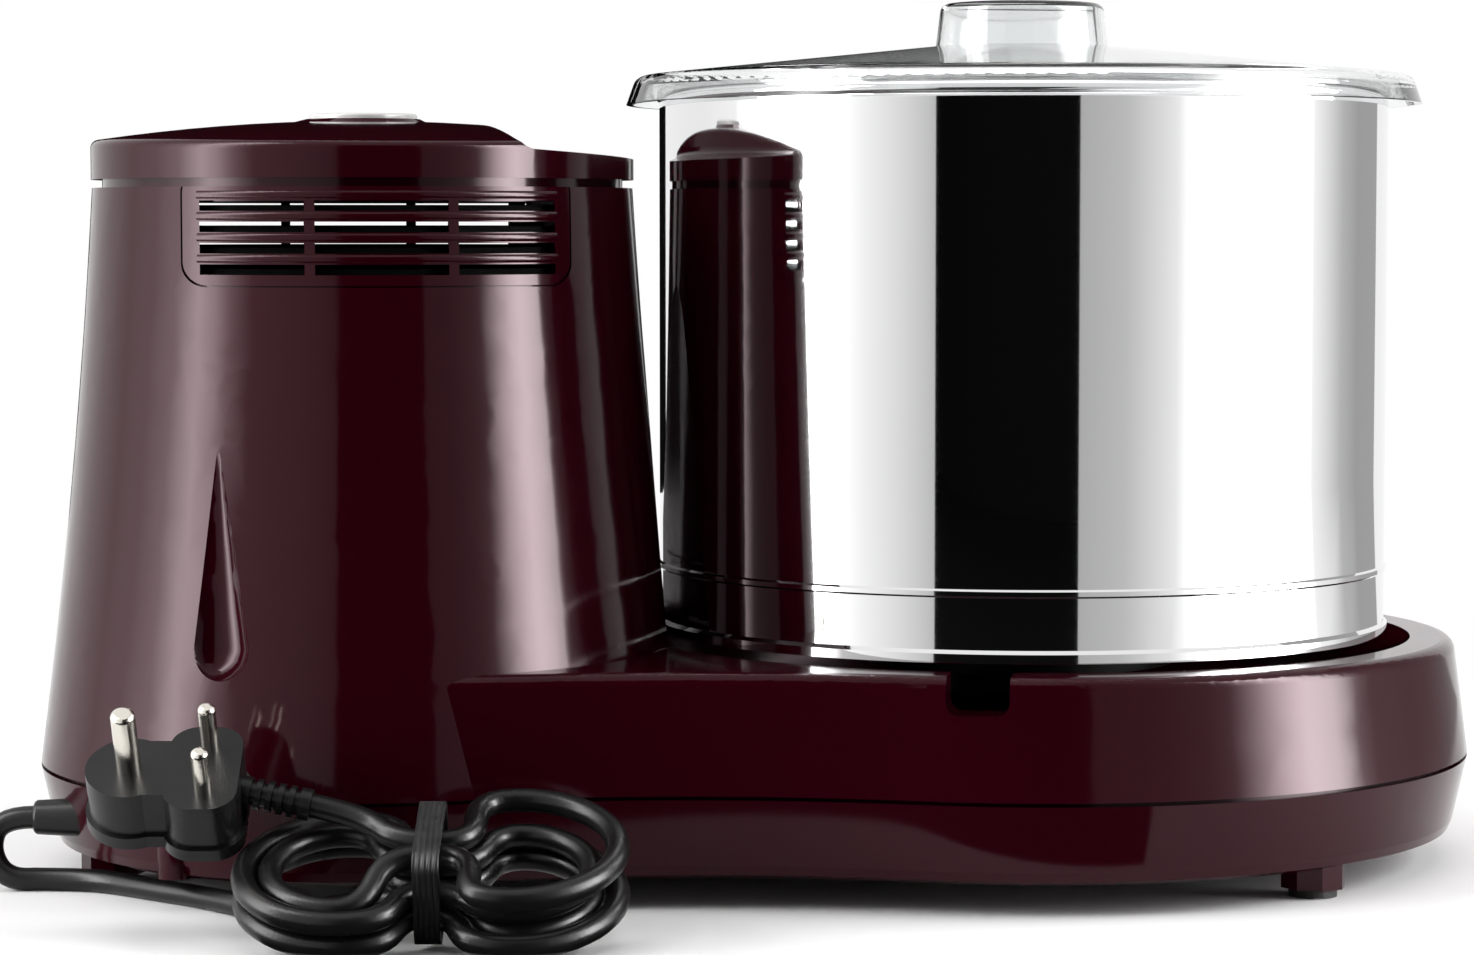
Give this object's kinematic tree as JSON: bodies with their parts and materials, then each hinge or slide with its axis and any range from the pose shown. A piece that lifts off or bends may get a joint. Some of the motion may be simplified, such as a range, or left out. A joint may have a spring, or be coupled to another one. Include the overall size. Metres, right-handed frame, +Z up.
{
  "type": "wet grinder",
  "caption": "Table-top wet grinder: glossy moulded base and motor tower, mirror steel drum with conical stones under a clear lid, and a tied supply cord with a plug.",
  "frame": {"origin": "under the middle of the base's footprint, on the surface it stands on", "axes": "+X towards the motor tower, +Y towards the rear with the plug, +Z up"},
  "size_m": [0.4778, 0.3321, 0.2744],
  "materials": {
    "cherry_plastic": "very glossy dark cherry",
    "pale_disc": "bare pale disc",
    "black_rubber": "matte",
    "black_sheath": "matte black, soft sheen",
    "black_plastic": "moulded",
    "mirror_steel": "mirror polished",
    "steel": "machined",
    "zinc_sheet": "zinc plated sheet",
    "cast_alloy": "as cast",
    "nickel": "nickel plated",
    "bronze": "sintered",
    "granite": "honed",
    "bedding": "set cement",
    "clear_plastic": "clear",
    "lamination": "stacked sheet",
    "copper": "varnished wire",
    "white_plastic": "moulded"
  },
  "bodies": {
    "base": {"upper_housing": "cherry_plastic", "bottom_tray": "cherry_plastic", "tower_cap": "cherry_plastic", "cap_disc": "pale_disc", "rear_grille": "cherry_plastic", "front_grille": "cherry_plastic", "rubber_feet": "black_rubber", "chassis_plate": "zinc_sheet", "spindle_housing": "cast_alloy", "spindle": "steel", "spindle_bearings": "steel", "motor_lower_bracket": "cast_alloy", "motor_upper_bracket": "cast_alloy", "motor_stator": "lamination", "motor_windings": "copper", "motor_bearings": "steel", "motor_tie_bolts": "steel", "motor_mounts": "black_rubber", "drive_belt": "black_rubber", "capacitor": "white_plastic", "capacitor_strap": "zinc_sheet", "overload_protector": "black_plastic", "switch_bezel": "black_plastic", "terminal_block": "white_plastic", "cord_clamp": "white_plastic", "inner_lead": "black_sheath", "housing_screws": "steel", "chassis_screws": "steel", "strain_relief": "black_sheath", "cord_lead": "black_sheath", "cord_hank": "black_sheath", "cord_tie": "black_rubber", "plug_body": "black_sheath", "plug_pins": "nickel"},
    "turntable": {"driven_pulley": "black_plastic", "drive_hub": "black_plastic"},
    "rotor": {"motor_shaft": "steel", "rotor_core": "lamination", "cooling_fan": "white_plastic", "motor_pulley": "steel"},
    "post": {"centre_post": "steel"},
    "drum": {"drum_shell": "mirror_steel", "drum_drive_plate": "black_plastic", "centre_column": "steel", "column_bushes": "bronze", "stone_bed": "bedding", "base_stone": "granite"},
    "carrier": {"stone_carrier": "white_plastic", "roller_axles": "steel", "roller_nuts": "steel", "carrier_spring": "steel"},
    "knob": {"locking_knob": "black_plastic"},
    "roller_a": {"roller_stone_a": "granite", "roller_bush_a": "bronze"},
    "roller_b": {"roller_stone_b": "granite", "roller_bush_b": "bronze"},
    "cover": {"lid": "clear_plastic", "lid_knob": "clear_plastic"},
    "rocker": {"switch_rocker": "black_plastic"},
    "reset": {"reset_button": "black_plastic"}
  },
  "joints": [
    {"name": "post_lift", "type": "slide", "parent": "base", "child": "post", "axis": [0, 0, 1], "range_m": [0, 0.1]},
    {"name": "drum_spin", "type": "hinge", "parent": "post", "child": "drum", "pos_m": [-0.0855, 0, 0.1], "axis": [0, 0, 1], "continuous": true},
    {"name": "turntable_spin", "type": "hinge", "parent": "base", "child": "turntable", "pos_m": [-0.0855, 0, 0.1], "axis": [0, 0, 1], "continuous": true},
    {"name": "rotor_spin", "type": "hinge", "parent": "base", "child": "rotor", "pos_m": [0.1275, 0, 0.1], "axis": [0, 0, 1], "continuous": true},
    {"name": "stone_lift", "type": "slide", "parent": "post", "child": "carrier", "axis": [0, 0, 1], "range_m": [0, 0.04]},
    {"name": "knob_turn", "type": "hinge", "parent": "carrier", "child": "knob", "pos_m": [-0.0855, 0, 0.1], "axis": [0, 0, 1], "range_deg": [0, 360]},
    {"name": "roller_a_spin", "type": "hinge", "parent": "carrier", "child": "roller_a", "pos_m": [-0.0855, 0, 0.10733], "axis": [0.9135, 0, 0.4067], "continuous": true},
    {"name": "roller_b_spin", "type": "hinge", "parent": "carrier", "child": "roller_b", "pos_m": [-0.0855, 0, 0.10733], "axis": [-0.9135, 0, 0.4067], "continuous": true},
    {"name": "lid_lift", "type": "slide", "parent": "drum", "child": "cover", "axis": [0, 0, 1], "range_m": [0, 0.1]},
    {"name": "rocker_tilt", "type": "hinge", "parent": "base", "child": "rocker", "pos_m": [0.1275, -0.10408, 0.118], "axis": [1, 0, 0], "range_deg": [-8, 8]},
    {"name": "reset_press", "type": "slide", "parent": "base", "child": "reset", "axis": [0, 0, 1], "range_m": [0, 0.003], "stiffness_N_per_m": 500}
  ],
  "couplings": [
    {"joint": "turntable_spin", "follows": "drum_spin", "ratio": 1},
    {"joint": "rotor_spin", "follows": "drum_spin", "ratio": 8.4706},
    {"joint": "roller_a_spin", "follows": "drum_spin", "ratio": 2.4586},
    {"joint": "roller_b_spin", "follows": "drum_spin", "ratio": 2.4586}
  ]
}
